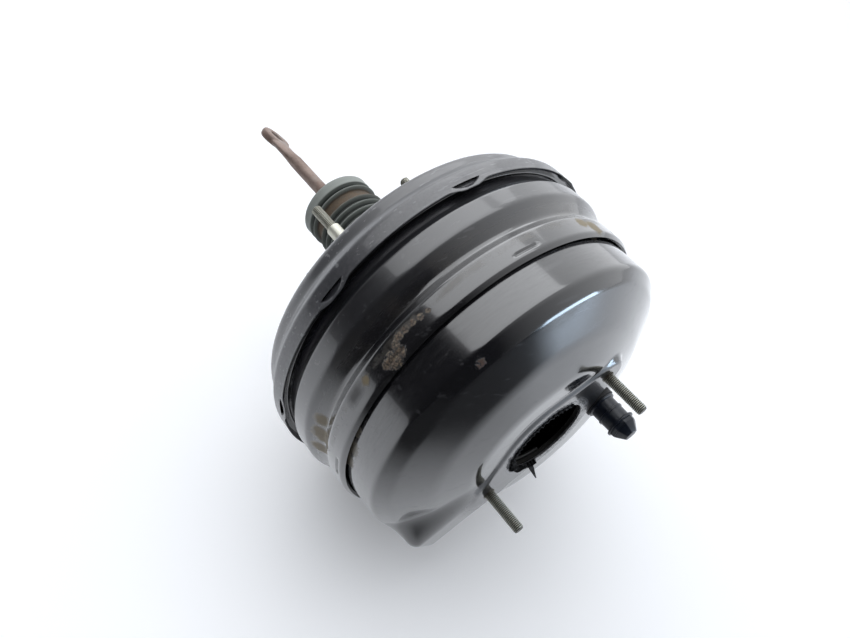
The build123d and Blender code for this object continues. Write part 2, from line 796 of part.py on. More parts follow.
with BuildPart() as check_valve:
    lathe(
        (shell_inner_x - 6, stem_radius - 2),
        (seat_x - 1.8, stem_radius - 2),
        (seat_x - 1.8, stem_radius - 3.2),
        (seat_x, stem_radius - 3.2),
        (seat_x, valve_radius - valve_wall),
        (body_front_face, valve_radius - valve_wall),
        (body_front_face, valve_radius),
        (body_rear_face + 2, valve_radius),
        (body_rear_face + 2, valve_radius + 1.2),
        (body_rear_face, valve_radius + 1.2),
        (body_rear_face, stem_radius),
        (shell_inner_x - 6, stem_radius),
        centre=valve_centre,
    )
check_valve.part.label = "check_valve"

with BuildPart() as valve_disc:
    tube(seat_x, seat_x + disc_thickness, 0, valve_radius - valve_wall - loose_gap - 0.5, centre=valve_centre)
valve_disc.part.label = "valve_disc"

with BuildPart() as disc_spring:
    spring_start = seat_x + disc_thickness + small_wire / 2 + running_gap
    spring_end = body_front_face - 2 - small_wire / 2 - running_gap
    coil(spring_start, spring_end, 4.0, 4.0, 4, small_wire / 2, centre=valve_centre)
disc_spring.part.label = "disc_spring"

with BuildPart() as valve_cap:
    cap_end = body_front_face + valve_cap_length
    lathe(
        (body_front_face - 2, 0),
        (body_front_face - 2, valve_radius - valve_wall - running_gap),
        (body_front_face, valve_radius - valve_wall - running_gap),
        (body_front_face, valve_cap_radius),
        (body_front_face + 5, valve_cap_radius),
        (cap_end, valve_nose_radius),
        (cap_end, 0),
        centre=valve_centre,
    )
valve_cap.part.label = "valve_cap"

pieces = [
    rear_shell, mid_shell, front_shell, rear_studs, rear_stud_plate, front_stud_plate, front_studs,
    divider_wall, divider_seal, guide_ring, neck_seal, seal_retainer, power_piston, stop_key,
    rear_plate, front_plate, piston_sleeve, plate_clamp, rear_diaphragm, front_diaphragm,
    reaction_disc, output_rod, adjuster_nut, rod_retainer, valve_plunger, poppet_valve,
    poppet_retainer, poppet_spring, spring_collar, rod_spring, silencer, air_filter,
    input_pushrod, boot, return_spring, valve_grommet, check_valve, valve_disc, disc_spring, valve_cap,
]
os.makedirs("parts", exist_ok=True)
for piece in pieces:
    export_step(piece.part, f"parts/{piece.part.label}.step")
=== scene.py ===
import json
from math import acos, atan2, cos, degrees, hypot, pi, radians, sin, tan

import bmesh
import bpy
from mathutils import Matrix, Vector


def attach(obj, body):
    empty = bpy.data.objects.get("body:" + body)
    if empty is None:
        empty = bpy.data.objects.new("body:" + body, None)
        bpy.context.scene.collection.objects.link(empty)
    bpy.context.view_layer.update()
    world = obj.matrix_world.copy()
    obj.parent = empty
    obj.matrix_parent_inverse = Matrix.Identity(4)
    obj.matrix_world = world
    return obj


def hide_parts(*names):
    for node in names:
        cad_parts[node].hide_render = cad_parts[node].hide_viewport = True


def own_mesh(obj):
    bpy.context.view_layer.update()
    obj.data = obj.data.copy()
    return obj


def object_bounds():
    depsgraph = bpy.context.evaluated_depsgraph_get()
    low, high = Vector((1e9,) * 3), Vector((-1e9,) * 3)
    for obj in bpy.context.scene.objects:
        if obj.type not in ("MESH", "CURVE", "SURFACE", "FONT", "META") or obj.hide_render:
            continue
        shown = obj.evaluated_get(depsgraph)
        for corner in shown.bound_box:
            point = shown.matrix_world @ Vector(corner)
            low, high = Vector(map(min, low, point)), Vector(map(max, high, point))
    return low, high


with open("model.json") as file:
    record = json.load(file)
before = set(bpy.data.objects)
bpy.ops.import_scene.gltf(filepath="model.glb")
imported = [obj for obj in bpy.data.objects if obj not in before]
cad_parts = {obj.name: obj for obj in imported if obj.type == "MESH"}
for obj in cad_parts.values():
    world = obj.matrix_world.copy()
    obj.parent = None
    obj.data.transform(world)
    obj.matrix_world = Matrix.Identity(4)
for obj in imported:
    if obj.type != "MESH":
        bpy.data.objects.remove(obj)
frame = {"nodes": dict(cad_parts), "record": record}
cad_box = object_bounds()

# The studio: a pale floor that the booster lies on, a broad soft lamp overhead, one at the left, and a low window
# beyond the booster. The room is bright on the far side and dark on the camera's side, as the gloss shows it.
camera_place = Vector((0.31246, -0.29845, 0.40624))
camera_right = Vector((0.60060, 0.77773, 0.18554))
camera_up = Vector((-0.66415, 0.35605, 0.65737))
camera_back = camera_right.cross(camera_up)
lens = bpy.data.cameras.new("camera")
lens.sensor_width = 36
lens.lens = 31.34
lens.clip_start = 0.01
camera = bpy.data.objects.new("camera", lens)
camera_turn = Matrix((camera_right, camera_up, camera_back)).transposed().to_4x4()
camera.matrix_world = Matrix.Translation(camera_place) @ camera_turn
bpy.context.collection.objects.link(camera)
bpy.context.scene.camera = camera
bpy.context.scene.view_settings.view_transform = "Standard"


def softbox(name, place, aim, width, height, power, colour):
    """A rectangular lamp that faces a point."""
    light = bpy.data.lights.new(name, "AREA")
    light.shape = "RECTANGLE"
    light.size = width
    light.size_y = height
    light.energy = power
    light.color = colour
    facing = (Vector(aim) - Vector(place)).to_track_quat("-Z", "Y")
    lamp = bpy.data.objects.new(name, light)
    lamp.matrix_world = Matrix.Translation(place) @ facing.to_matrix().to_4x4()
    lamp.visible_camera = False
    bpy.context.collection.objects.link(lamp)


daylight = (0.95, 0.97, 1.0)
window_blue = (0.62, 0.8, 1.0)
softbox("overhead_lamp", place=(-0.45, -0.05, 1.7), aim=(-0.1, 0.0, 0.0), width=2.2, height=1.9, power=19.5,
        colour=daylight)
softbox("window_lamp", place=(1.43, 0.98, 0.1), aim=(0.17, 0.0, 0.11), width=0.7, height=0.3, power=5,
        colour=window_blue)
softbox("left_lamp", place=(-1.6, 0.75, 1.2), aim=(0.1, 0.0, 0.0), width=2.2, height=1.1, power=10,
        colour=daylight)


class Wire:
    """One socket of a material's nodes. Arithmetic on wires adds Math nodes."""

    def __init__(self, tree, socket):
        self.tree = tree
        self.socket = socket

    def math(self, operation, *values):
        node = self.tree.nodes.new("ShaderNodeMath")
        node.operation = operation
        for port, value in zip(node.inputs, values):
            feed(self.tree, port, value)
        return Wire(self.tree, node.outputs[0])

    def __add__(self, other):
        return self.math("ADD", self, other)

    __radd__ = __add__

    def __sub__(self, other):
        return self.math("SUBTRACT", self, other)

    def __rsub__(self, other):
        return self.math("SUBTRACT", other, self)

    def __mul__(self, other):
        return self.math("MULTIPLY", self, other)

    __rmul__ = __mul__

    def __truediv__(self, other):
        return self.math("DIVIDE", self, other)

    def __pow__(self, other):
        return self.math("POWER", self, other)

    def __abs__(self):
        return self.math("ABSOLUTE", self)

    def most(self, other):
        """The larger of two values."""
        return self.math("MAXIMUM", self, other)

    def least(self, other):
        """The smaller of two values."""
        return self.math("MINIMUM", self, other)


def feed(tree, port, value):
    """Links a wire to a socket, or writes a plain value on it."""
    if isinstance(value, Wire):
        tree.links.new(value.socket, port)
    else:
        port.default_value = value


mm = 0.001


class Finish:
    """A node material under construction, for one finish of this booster."""

    def __init__(self, name, **fixed):
        self.material = bpy.data.materials.new(name)
        self.material.use_nodes = True
        self.tree = self.material.node_tree
        self.shader = self.tree.nodes["Principled BSDF"]
        self.place = self.node("ShaderNodeTexCoord", output="Object")
        for port, value in fixed.items():
            self.shader.inputs[port.replace("_", " ")].default_value = value

    def node(self, kind, settings=None, output=0, **values):
        """Adds a node: its settings first, then the values or wires of its sockets, by name or as p0, p1."""
        node = self.tree.nodes.new(kind)
        for key, setting in (settings or {}).items():
            if key == "stops":
                ramp = node.color_ramp
                for index, (spot, tone) in enumerate(setting):
                    stop = ramp.elements[index] if index < 2 else ramp.elements.new(spot)
                    stop.position = spot
                    stop.color = (tone, tone, tone, 1)
            else:
                setattr(node, key, setting)
        sockets = [socket for socket in node.inputs if socket.enabled]
        for port, value in values.items():
            if port[0] == "p" and port[1:].isdigit():
                target = sockets[int(port[1:])]
            else:
                target = next(socket for socket in sockets if socket.name == port)
            feed(self.tree, target, value)
        outputs = [socket for socket in node.outputs if socket.enabled]
        return Wire(self.tree, outputs[output] if isinstance(output, int) else node.outputs[output])

    def axes(self):
        """The X, Y and Z wires of the object's own coordinates, in millimetres."""
        split = self.tree.nodes.new("ShaderNodeSeparateXYZ")
        feed(self.tree, split.inputs[0], self.place)
        return [Wire(self.tree, port) / mm for port in split.outputs]

    def noise(self, scale, detail, rough, stretch=None):
        """Cloudy noise from 0 to 1, at a scale in cycles per metre."""
        spot = self.place
        if stretch:
            spot = self.node("ShaderNodeMapping", p0=spot, Scale=stretch)
        return self.node("ShaderNodeTexNoise", p0=spot, Scale=scale, Detail=detail, Roughness=rough)

    def ramp(self, value, *stops):
        """A value passed through a ramp of (place, tone) stops, with places from 0 to 1."""
        return self.node("ShaderNodeValToRGB", {"stops": stops}, p0=value)

    def rise(self, value, low, high, top=1.0):
        """Goes from 0 to a top value as a wire goes from low to high."""
        return ((value - low) / (high - low)).most(0).least(1) * top

    def mix(self, share, low, high):
        """A colour that goes from one to another as the share goes from 0 to 1."""
        low = (*low, 1) if isinstance(low, tuple) else low
        high = (*high, 1) if isinstance(high, tuple) else high
        return self.node("ShaderNodeMix", {"data_type": "RGBA"}, p0=share, A=low, B=high)

    def bump(self, height, distance, strength=1.0):
        """A bump of a height map, as deep as a distance in millimetres."""
        return self.node("ShaderNodeBump", Height=height, Distance=distance * mm, Strength=strength)

    def wear(self, **values):
        """Feeds the shader's sockets and returns the finished material."""
        for port, value in values.items():
            feed(self.tree, self.shader.inputs[port.replace("_", " ")], value)
        return self.material


floor_half_width = 6
floor_white = (0.8, 0.81, 0.83)
# Painted reflection colour: the floor as glossy rays see it on the camera's side.
floor_reflection_dark = (0.05, 0.05, 0.05)
floor_lift = (0.22, 0.223, 0.23)
lowest = cad_box[0][2]
floor_mesh = bmesh.new()
bmesh.ops.create_grid(floor_mesh, x_segments=1, y_segments=1, size=floor_half_width)
bmesh.ops.translate(floor_mesh, vec=(0, 0, lowest), verts=floor_mesh.verts)
floor_data = bpy.data.meshes.new("floor")
floor_mesh.to_mesh(floor_data)
floor_mesh.free()
floor = bpy.data.objects.new("floor", floor_data)
bpy.context.collection.objects.link(floor)
floor_paint = Finish("floor_paint", Base_Color=(*floor_white, 1), Roughness=0.7, Emission_Strength=1)
floor_data.materials.append(floor_paint.material)
seen, mirrored, through = [
    floor_paint.node("ShaderNodeLightPath", output="Is " + kind + " Ray")
    for kind in ("Camera", "Glossy", "Transmission")
]
floor_x, floor_y, _ = floor_paint.axes()
# Painted reflection: past a line on the camera's side, the floor turns dark for glossy rays only, so the enamel
# reflects a dark floor there. The camera still sees the floor pale.
dark_reflection_zone = floor_paint.rise(floor_x, 150, 450) * floor_paint.rise(floor_x * 0.55 - floor_y * 0.83, 140, 360)
dark_reflection_zone = dark_reflection_zone * mirrored
shown = seen.most(mirrored.most(through))
floor_tone = floor_paint.mix(dark_reflection_zone, floor_white, floor_reflection_dark)
floor_glow = floor_paint.mix(shown * (1 - dark_reflection_zone), (0.0, 0.0, 0.0), floor_lift)
floor_paint.wear(Base_Color=floor_tone, Emission_Color=floor_glow)

bright_side = (-0.33, 0.89, 0.32)
room = bpy.data.worlds.new("room")
room.use_nodes = True
bpy.context.scene.world = room
sky = room.node_tree
ray = sky.nodes.new("ShaderNodeTexCoord")
towards = sky.nodes.new("ShaderNodeVectorMath")
towards.operation = "DOT_PRODUCT"
sky.links.new(ray.outputs["Generated"], towards.inputs[0])
towards.inputs[1].default_value = bright_side
side = Wire(sky, towards.outputs["Value"])
backdrop = sky.nodes["Background"]
backdrop.inputs["Color"].default_value = (*daylight, 1)
feed(sky, backdrop.inputs["Strength"], (side * 1.2 + 0.3).most(0.025))

# The three shells: deep drawn steel sheet, dipped in gloss black enamel. Each is an outline of straight stretches
# and bends, turned about the booster's axis. All meshes are drawn in millimetres, and made metres when finished.
sheet = 2.0
tab_phase = 96.5
tab_count = 8
around = 480


def rounded(corners, bends, facet):
    """An outline with its inner corners bent to the given radii, cut into facets of one length."""
    points = [Vector(corners[0])]
    for before, corner, after, bend in zip(corners, corners[1:], corners[2:], bends):
        corner = Vector(corner)
        back = (Vector(before) - corner).normalized()
        ahead = (Vector(after) - corner).normalized()
        half = back.angle(ahead) / 2
        centre = corner + (back + ahead).normalized() * bend / sin(half)
        first = corner + back * bend / tan(half) - centre
        last = corner + ahead * bend / tan(half) - centre
        count = max(3, round(bend * first.angle(last) / facet))
        points += [centre + first.slerp(last, k / count) * bend for k in range(count + 1)]
    points.append(Vector(corners[-1]))
    outline = [points[0]]
    for point in points[1:]:
        start = outline[-1]
        count = max(1, round((point - start).length / facet))
        outline += [start.lerp(point, (k + 1) / count) for k in range(count)]
    return outline


def lined(outline, gap, every):
    """The inner side of a sheet: an outline moved inward by its thickness, with fewer points."""
    inner = []
    for index in [*range(0, len(outline), every), len(outline) - 1]:
        before = outline[max(index - 1, 0)]
        after = outline[min(index + 1, len(outline) - 1)]
        along = (after - before).normalized()
        inner.append(outline[index] + Vector((along.y, -along.x)) * gap)
    return inner


def swept(mesh, ring, steps):
    """Turns a ring of points fully about the X axis: one sector is spun, and the others are its copies."""
    edges = [mesh.edges.new(pair) for pair in zip(ring, ring[1:] + ring[:1])]
    sweep = 2 * pi / tab_count
    bmesh.ops.spin(mesh, geom=ring + edges, cent=(0, 0, 0), axis=(1, 0, 0), angle=sweep, steps=steps // tab_count)
    sector = mesh.verts[:] + mesh.edges[:] + mesh.faces[:]
    for k in range(1, tab_count):
        copy = bmesh.ops.duplicate(mesh, geom=sector)["geom"]
        points = [part for part in copy if isinstance(part, bmesh.types.BMVert)]
        bmesh.ops.rotate(mesh, cent=(0, 0, 0), matrix=Matrix.Rotation(sweep * k, 3, "X"), verts=points)
    bmesh.ops.remove_doubles(mesh, verts=mesh.verts, dist=0.001)
    bmesh.ops.recalc_face_normals(mesh, faces=mesh.faces)


def turned(outline, steps, phase=0.0):
    """A closed outline of (x, radius) points turned about the X axis."""
    mesh = bmesh.new()
    ring = [mesh.verts.new((x, radius * cos(phase), radius * sin(phase))) for x, radius in outline]
    swept(mesh, ring, steps)
    return mesh


def finished(name, mesh, material, body, stands_for=(), sharp=35):
    """Makes a piece of a mesh: in metres, smooth but for its sharp edges, with its finish, slot and body."""
    for face in mesh.faces:
        face.smooth = True
    for edge in mesh.edges:
        edge.smooth = edge.is_manifold and edge.calc_face_angle(0) < radians(sharp)
    bmesh.ops.scale(mesh, vec=(mm, mm, mm), verts=mesh.verts)
    data = bpy.data.meshes.new(name)
    mesh.to_mesh(data)
    mesh.free()
    data.materials.append(material)
    piece = bpy.data.objects.new(name, data)
    bpy.context.collection.objects.link(piece)
    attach(piece, body)
    if stands_for:
        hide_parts(*stands_for)
    return piece


def eased(value, low, high):
    """Goes smoothly from 0 at low to 1 at high."""
    share = min(max((value - low) / (high - low), 0), 1)
    return share * share * (3 - 2 * share)


def off_tab(vertex):
    """The angle in degrees between a point and the middle of the tab nearest to it."""
    pitch = 360 / tab_count
    angle = degrees(atan2(vertex.co.z, vertex.co.y)) - tab_phase
    return abs((angle + pitch / 2) % pitch - pitch / 2)


def between(value, low, high, edge):
    """1 between two limits of a wire and 0 outside them, easing over an edge."""
    rise = (value - low) / edge + 0.5
    return rise.least((high - value) / edge + 0.5).most(0).least(1)


class Enamel(Finish):
    """Gloss black enamel with the dust, scuffs and grime of years under a bonnet."""

    black = (0.006, 0.006, 0.008)
    scratch_grey = (0.16, 0.16, 0.17)

    def __init__(self, name):
        super().__init__(name, Specular_IOR_Level=0.95, Coat_Roughness=0.07, Coat_IOR=1.6)
        self.x, y, z = self.axes()
        self.radius = (y * y + z * z) ** 0.5
        self.angle = z.math("ARCTAN2", z, y) * (180 / pi)
        self.cloud = self.noise(35, 5, 0.62)
        self.fine = self.noise(420, 4, 0.7)
        self.streaks = self.noise(90, 5, 0.7, stretch=(9, 1, 1))
        clouded = self.ramp(self.cloud, (0.45, 0.0), (0.75, 0.09))
        streaked = self.ramp(self.streaks, (0.55, 0.0), (0.75, 0.06))
        self.dust = clouded + streaked
        self.colour = self.black
        self.height = self.noise(55, 2, 0.5) * 0.5 + self.noise(11, 1, 0.5) * 2

    def near(self, angle, x, radius, size):
        """1 at a spot, given by its angle in degrees, place along the axis and radius, and 0 at its size."""
        centre = (x * mm, radius * mm * cos(radians(angle)), radius * mm * sin(radians(angle)))
        apart = {"operation": "DISTANCE"}
        gap = self.node("ShaderNodeVectorMath", apart, output="Value", p0=self.place, p1=centre)
        return (1 - gap / (size * mm)).most(0)

    def cover(self, share, colour, grain=0.0):
        """Lays dirt of a colour over the enamel where the share is 1."""
        self.colour = self.mix(share, self.colour, colour)
        self.dust = self.dust.most(share)
        if grain:
            self.height = self.height + self.fine * share * grain

    def scuffs(self, share):
        """Short pale hair scratches, thicker where the share is high."""
        lines = 0
        for lean in (-0.7, 0.35):
            turn = (lean, lean * 0.5, 0.3)
            spun = self.node("ShaderNodeMapping", p0=self.place, Rotation=turn, Scale=(1, 0.06, 1))
            grain = self.node("ShaderNodeTexNoise", p0=spun, Scale=260, Detail=2.0, Roughness=0.6)
            lines = lines + self.ramp(grain, (0.66, 0.0), (0.7, 1.0))
        self.cover((lines * share).least(1), self.scratch_grey)

    def done(self):
        """Sets the gloss by the dust and returns the material."""
        dust = self.dust.least(1)
        relief = self.bump(self.height, 0.1, 0.9)
        return self.wear(Base_Color=self.colour, Roughness=dust * 0.5 + 0.15, Coat_Weight=1 - dust, Normal=relief)


neck_radius = 25
hub_radius = 66
skirt_radius = 137.8
slit_x = 70.7
slit_width = 0.25
crease_x = 71.6
lip_x = 74
lip_bulge = 3.3
tab_half_angle = 4.1
tab_depth = 3.2
tab_reach = 4.2
rear_corners = [
    (-12, neck_radius), (0, neck_radius), (0, hub_radius), (9, 77), (43.5, 129.4), (54, 131.6),
    (62, skirt_radius), (slit_x, skirt_radius),
]
rear_bends = [3, 4, 10, 8, 8, 5]
lip_rows = [
    (slit_x + slit_width, skirt_radius), (crease_x, skirt_radius), (72.5, 137.85), (73.6, 137.9), (lip_x, 137.6),
]
outer = rounded(rear_corners, rear_bends, 2) + [Vector(row) for row in lip_rows]
mesh = turned(outer + lined(outer, sheet, 4)[::-1], around, radians(tab_phase))
for vertex in mesh.verts:
    x = vertex.co.x
    radius = hypot(vertex.co.y, vertex.co.z)
    if x > slit_x + 0.1 and radius > skirt_radius - sheet / 2:
        away = off_tab(vertex)
        window = max(0, 1 - (away / tab_half_angle) ** 2)
        if abs(x - slit_x - slit_width) < 0.1:
            vertex.co.yz *= 1 - tab_depth * window ** 0.5 / radius
            vertex.co.x += 0.2 * window
        elif abs(x - crease_x) < 0.1:
            vertex.co.x += tab_reach * window ** 0.6
        else:
            vertex.co.x += lip_bulge * (1 - eased(away, 1.5, 7.0))
slits = []
for face in mesh.faces:
    middle = face.calc_center_median()
    at_slit = slit_x < middle.x < slit_x + 0.6 and hypot(middle.y, middle.z) > skirt_radius - tab_depth - 1
    first_row = min(vertex.co.x for vertex in face.verts) < slit_x + 0.05
    if at_slit and first_row and all(off_tab(vertex) < tab_half_angle for vertex in face.verts):
        slits.append(face)
bmesh.ops.delete(mesh, geom=slits, context="FACES_ONLY")

skirt_enamel = Enamel("skirt_enamel")
skirt_dust = (0.036, 0.036, 0.043)
worn_edge_grey = (0.10, 0.10, 0.11)
band = between(skirt_enamel.x, 30, 90, 14)
skirt_enamel.cover(band * (skirt_enamel.streaks * 0.5 + 0.3), skirt_dust)
edge_grain = skirt_enamel.ramp(skirt_enamel.fine, (0.4, 0.2), (0.7, 0.8))
edge_wear = between(skirt_enamel.radius, 137.4, 145, 1.2) * edge_grain
skirt_enamel.cover(edge_wear * 0.6, worn_edge_grey)
skirt_enamel.scuffs(band * 0.8)
finished("rear_pressing", mesh, skirt_enamel.done(), "housing", ["rear_shell"])

flange_x = 70.4
flange_radius = 136
recess_radius = 131.2
body_radius = 134.6
groove_radius = 126.6
rim_radius = 130.2
slot_rear_x = 127.9
slot_front_x = 129.6
slot_half_angle = 4
slot_depth = 1.2
mid_corners = [
    (flange_x, flange_radius), (flange_x, recess_radius), (79, recess_radius), (84, body_radius), (98, body_radius),
    (110.5, groove_radius), (118, rim_radius), (132.6, rim_radius), (135.3, 127.9),
]
mid_bends = [1, 3, 3, 5, 4, 4, 3]
outer = rounded(mid_corners, mid_bends, 1)
mesh = turned(outer + lined(outer, sheet, 4)[::-1], around, radians(tab_phase))
for vertex in mesh.verts:
    radius = hypot(vertex.co.y, vertex.co.z)
    on_rim = slot_rear_x < vertex.co.x < slot_front_x and radius > rim_radius - sheet / 2
    if on_rim and off_tab(vertex) < slot_half_angle:
        vertex.co.yz *= 1 - slot_depth / radius

ring_enamel = Enamel("ring_enamel")
haze_grey = (0.032, 0.032, 0.038)
groove_brown = (0.075, 0.065, 0.055)
seam_brown = (0.09, 0.08, 0.065)
soot_black = (0.012, 0.011, 0.011)
pit_black = (0.012, 0.009, 0.007)
crust_brown = (0.13, 0.075, 0.04)
crust_tan = (0.25, 0.20, 0.14)
halo_brown = (0.06, 0.055, 0.05)
blot_yellow = (0.17, 0.125, 0.05)
crust_spots = (
    (142, 130, 7.5), (139.4, 129.2, 5.5), (144.2, 128.4, 4.5), (139, 124.5, 4), (137, 122.2, 3.8),
    (134.5, 122, 3.4), (132, 122.5, 3), (129.5, 123.4, 3), (127, 124, 2.4),
)
ring_blots = (
    (152, 123.5, 7), (66.6, 128.6, 11), (71, 123, 9), (183, 110, 16), (192, 108, 14), (176, 107, 11),
)
grit = ring_enamel.noise(700, 6, 0.75)
lumps = ring_enamel.noise(230, 5, 0.7)
ragged = ring_enamel.noise(60, 5, 0.65)
crumbs = ring_enamel.noise(850, 5, 0.75)
haze = between(ring_enamel.x, 72, 106, 8) * (ring_enamel.streaks * 0.4 + 0.12)
ring_enamel.cover(haze, haze_grey)
groove_dust = between(ring_enamel.x, 101, 116, 8) * ring_enamel.ramp(ring_enamel.cloud, (0.45, 0.0), (0.7, 0.7))
ring_enamel.cover(groove_dust * 0.55, groove_brown)
seam_dirt = between(ring_enamel.x, 119, 124, 2) * ring_enamel.ramp(ragged, (0.4, 0.0), (0.62, 0.9))
ring_enamel.cover(seam_dirt * between(ring_enamel.angle, 60, 178, 20) * 0.6, seam_brown, 1.0)
crust_share = 0
for angle, x, size in crust_spots:
    crust_share = ring_enamel.near(angle, x, 130, size).most(crust_share)
crust = ring_enamel.rise(crust_share + crumbs * 1.2 + lumps * 0.35, 1.0, 1.14)
pits = ring_enamel.rise(crumbs * 0.6 + grit * 0.6, 0.54, 0.64) * ring_enamel.rise(grit, 0.42, 0.54)
crust_tone = ring_enamel.mix(ring_enamel.rise(lumps, 0.4, 0.6), crust_brown, crust_tan)
crust_tone = ring_enamel.mix(pits, pit_black, crust_tone)
halo = ring_enamel.rise(crust_share, -0.2, 0.6) * 0.35
ring_enamel.cover(halo * ragged, halo_brown, 1.0)
ring_enamel.cover(crust, crust_tone, 5.0)
for angle, x, size in ring_blots:
    blot = ring_enamel.near(angle, x, 129, size)
    ring_enamel.cover(ring_enamel.rise(blot + ragged, 0.85, 1.1, 0.85), blot_yellow, 2.0)
soot = between(ring_enamel.angle, 154, 161, 4) * between(ring_enamel.x, 119, 127, 5)
ring_enamel.cover(soot * 0.8, soot_black)
ring_enamel.scuffs(ring_enamel.cloud * 0.35)
finished("middle_pressing", mesh, ring_enamel.done(), "housing", ["mid_shell"])

bore_radius = 30.3
wall_radius = 125.3
wall_x = 126
pad_x = 190.9
plateau_x = 188.9
pad_half_width = 40
pad_end_radius = 12.5
pad_edge = 5
stud_circle = 57.5
stud_angle = radians(45)
arm_half_width = 9
arm_foot = 33
front_corners = [
    (wall_x, wall_radius), (161, wall_radius), (168.6, 117), (181, 91), (plateau_x, 64), (plateau_x, bore_radius),
]
front_bends = [5, 14, 60, 30]
arm_corners = [
    (wall_x, wall_radius), (154, wall_radius), (185.5, 123), (190, 75), (pad_x, 57), (pad_x, bore_radius),
]
arm_bends = [16, 8, 60, 60]
outline_steps = 140


def evenly(outline, count):
    """An outline cut again into equal steps."""
    reach = [0.0]
    for a, b in zip(outline, outline[1:]):
        reach.append(reach[-1] + (b - a).length)
    steps = []
    index = 0
    for k in range(count + 1):
        goal = reach[-1] * k / count
        while index < len(reach) - 2 and reach[index + 1] < goal:
            index += 1
        stretch = reach[index + 1] - reach[index]
        steps.append(outline[index].lerp(outline[index + 1], (goal - reach[index]) / stretch))
    return steps


def pad_share(y, z):
    """1 on the oval pad round the bore and studs and 0 off it, easing over its edge."""
    along = abs(y * cos(stud_angle) + z * sin(stud_angle))
    across = abs(z * cos(stud_angle) - y * sin(stud_angle))
    lean = acos((pad_half_width - pad_end_radius) / stud_circle)
    if along * sin(lean) < across * cos(lean) + 1e-6:
        edge = hypot(along, across) - pad_half_width
    elif (along - stud_circle) * sin(lean) > across * cos(lean):
        edge = hypot(along - stud_circle, across) - pad_end_radius
    else:
        edge = along * cos(lean) + across * sin(lean) - pad_half_width
    return 1 - eased(edge, -1, pad_edge)


outer = evenly(rounded(front_corners, front_bends, 0.8), outline_steps)
arm = evenly(rounded(arm_corners, arm_bends, 0.8), outline_steps)
base_ring = outer + lined(outer, sheet, 5)[::-1]
arm_ring = arm + lined(arm, sheet, 5)[::-1]
mesh = bmesh.new()
arm_x = mesh.verts.layers.float.new("arm_x")
arm_radius = mesh.verts.layers.float.new("arm_radius")
depth = mesh.verts.layers.float.new("depth")
ring = []
for index, ((x, radius), (over_x, over_radius)) in enumerate(zip(base_ring, arm_ring)):
    vertex = mesh.verts.new((x, radius, 0))
    vertex[arm_x] = over_x
    vertex[arm_radius] = over_radius
    vertex[depth] = 0 if index < len(outer) else sheet
    ring.append(vertex)
swept(mesh, ring, around)
for vertex in mesh.verts:
    x, y, z = vertex.co
    radius = hypot(y, z)
    angle = atan2(z, y) - stud_angle - pi
    if cos(angle) > 0 and x > 140:
        aside = abs(radius * sin(angle))
        share = (1 - eased(aside, arm_half_width, arm_foot)) * eased(radius, 44, 58)
        grown = radius + (vertex[arm_radius] - radius) * share
        x += (vertex[arm_x] - x) * share
        vertex.co = (x, y * grown / radius, z * grown / radius)
    if x > 180:
        lift = pad_x - vertex[depth] - x
        vertex.co.x += max(lift, 0) * pad_share(vertex.co.y, vertex.co.z)

dome_enamel = Enamel("dome_enamel")
wall_dust_grey = (0.05, 0.048, 0.05)
rust_dark = (0.03, 0.015, 0.01)
rust_light = (0.12, 0.06, 0.035)
blot_tan = (0.17, 0.145, 0.10)
rim_grey = (0.13, 0.13, 0.135)
pad_grey = (0.05, 0.052, 0.055)
worn_grey = (0.30, 0.30, 0.31)
chip_black = (0.008, 0.008, 0.009)
wall_blots = ((68, 131, 8), (168, 131, 11), (174, 133, 14), (181, 131, 16))
speck = dome_enamel.noise(500, 5, 0.7)
smear = dome_enamel.noise(70, 5, 0.65)
wall_dust = between(dome_enamel.x, 120, 156, 10) * dome_enamel.ramp(dome_enamel.streaks, (0.4, 0.0), (0.75, 0.5))
dome_enamel.cover(wall_dust * 0.5, wall_dust_grey)
rust = dome_enamel.near(126.2, 163.3, 119.5, 7) * 0.8 + speck * 1.2
dome_enamel.cover(dome_enamel.rise(rust, 0.98, 1.06, 0.9), dome_enamel.mix(speck, rust_dark, rust_light), 3.0)
for angle, x, size in wall_blots:
    blot = dome_enamel.near(angle, x, wall_radius, size) * 0.7 + smear * 0.4 + speck * 0.5
    dome_enamel.cover(dome_enamel.rise(blot, 0.72, 0.86, 0.75), blot_tan, 1.5)
pad_rim = between(dome_enamel.x, 189.3, 190.5, 0.5) * between(dome_enamel.radius, 36, 64, 4)
dome_enamel.cover(pad_rim * 0.75, rim_grey)
pad_dust = between(dome_enamel.x, 189.5, 193, 1.2)
turning_marks = dome_enamel.radius * 3.8
turning_marks = turning_marks.math("SINE", turning_marks) * 0.5 + 0.5
worn_ring = between(dome_enamel.radius, 30, 37, 1) * pad_dust
worn_share = worn_ring * turning_marks * dome_enamel.ramp(smear, (0.35, 0.25), (0.6, 0.9))
chips = worn_ring * dome_enamel.ramp(speck, (0.52, 0.0), (0.57, 1.0))
dome_enamel.cover(pad_dust * 0.30, pad_grey)
dome_enamel.cover(worn_share, worn_grey, 0.6)
dome_enamel.cover(chips, chip_black, 1.0)
dome_enamel.scuffs(dome_enamel.cloud * 0.3)
finished("front_pressing", mesh, dome_enamel.done(), "housing", ["front_shell"])

